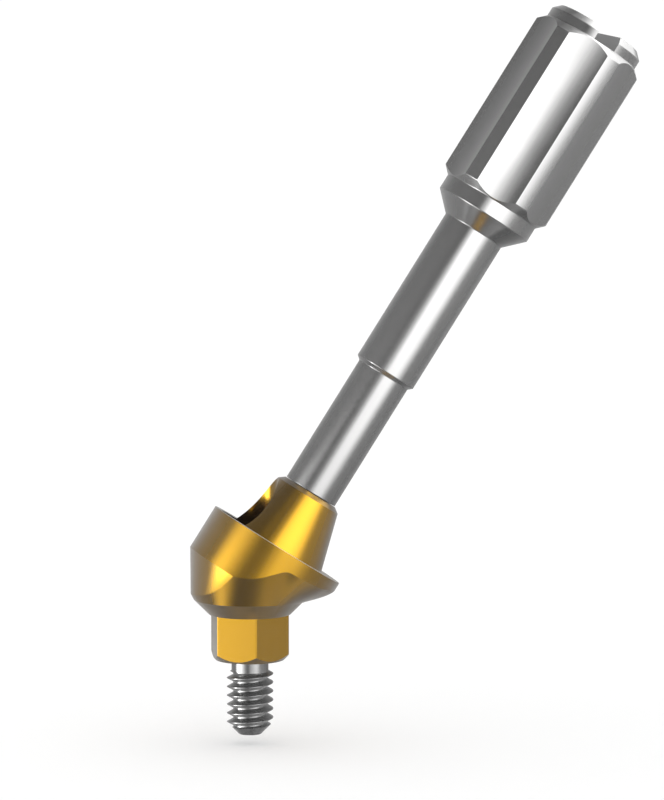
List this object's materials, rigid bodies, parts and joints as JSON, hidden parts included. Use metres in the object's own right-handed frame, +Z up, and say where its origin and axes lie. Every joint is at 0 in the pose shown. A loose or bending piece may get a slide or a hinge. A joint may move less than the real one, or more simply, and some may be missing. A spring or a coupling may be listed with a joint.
{
  "type": "angled dental abutment",
  "caption": "Gold-coloured angled dental abutment with a hex connection, a conical post, its clamping screw, and a fluted handling carrier screwed into the post.",
  "frame": {"origin": "centre of the hex connection at the seat that stands on the implant, on the implant axis", "axes": "+Z up along the implant axis, +X the side the post and carrier lean to, so the XZ plane is the plane of the tilt"},
  "size_m": [0.0149, 0.0048, 0.0239],
  "materials": {
    "gold_titanium": "turned titanium with a gold nitride coating",
    "screw_titanium": "bright turned titanium",
    "carrier_titanium": "fine turned titanium"
  },
  "bodies": {
    "abutment": {"abutment_body": "gold_titanium"},
    "clamping_screw": {"abutment_screw": "screw_titanium"},
    "carrier": {"carrier": "carrier_titanium"}
  },
  "joints": [
    {"name": "screw_turn", "type": "hinge", "parent": "abutment", "child": "clamping_screw", "pos_m": [0, 0, 0], "axis": [0, 0, 1], "continuous": true},
    {"name": "carrier_turn", "type": "hinge", "parent": "abutment", "child": "carrier", "pos_m": [0.00201, 0, 0.00398], "axis": [0.5373, 0, 0.8434], "continuous": true}
  ]
}
